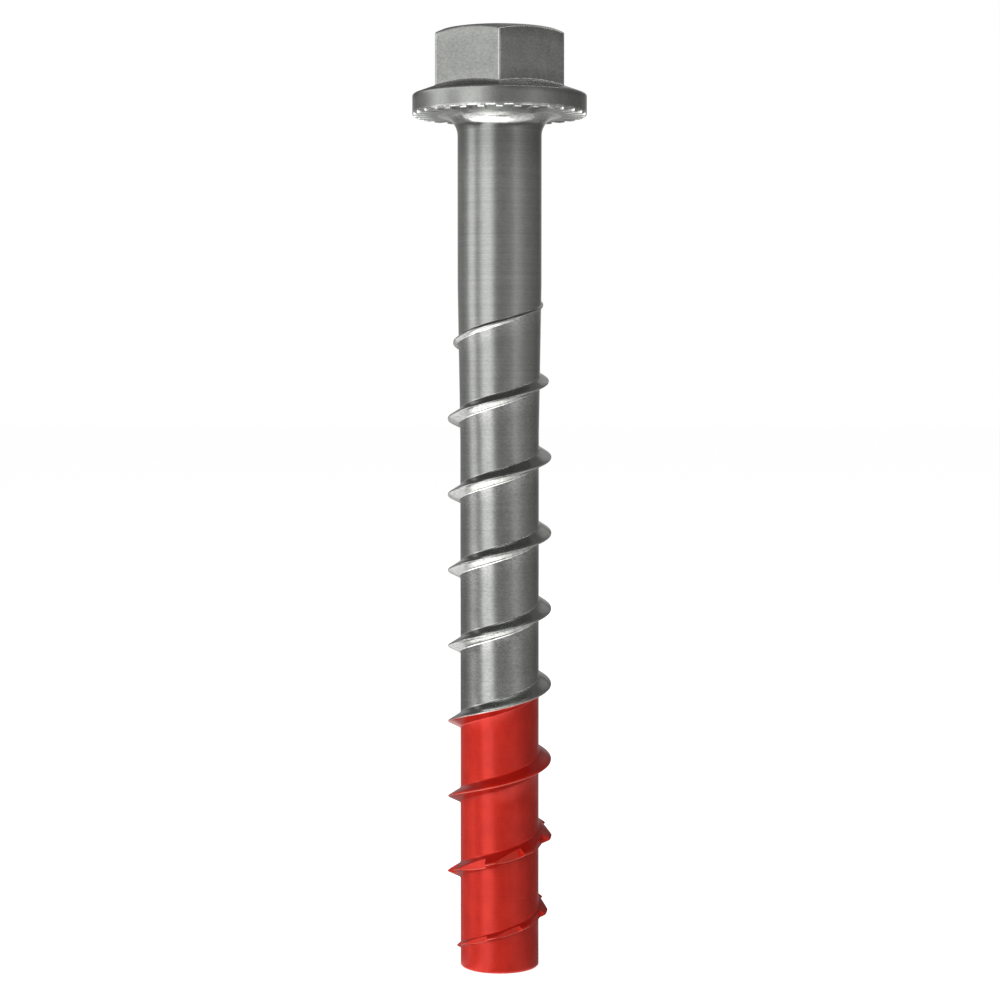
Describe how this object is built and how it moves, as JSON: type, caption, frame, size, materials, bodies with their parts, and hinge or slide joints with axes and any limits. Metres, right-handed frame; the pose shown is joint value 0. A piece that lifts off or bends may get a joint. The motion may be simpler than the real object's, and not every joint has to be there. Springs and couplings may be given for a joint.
{
  "type": "concrete screw",
  "caption": "Hexagon flange head concrete screw with locking serrations, plain shank, coarse right-hand thread, saw-toothed tip turns and a painted tip.",
  "frame": {"origin": "centre of the blunt tip's end face", "axes": "+Z along the screw's axis from the tip to the head; one corner of the hexagon points to -Y"},
  "size_m": [0.0174, 0.0172, 0.0933],
  "materials": {
    "steel": "plated steel, satin, with a red painted tip"
  },
  "bodies": {
    "root": {"concrete_screw": "steel"}
  },
  "joints": []
}
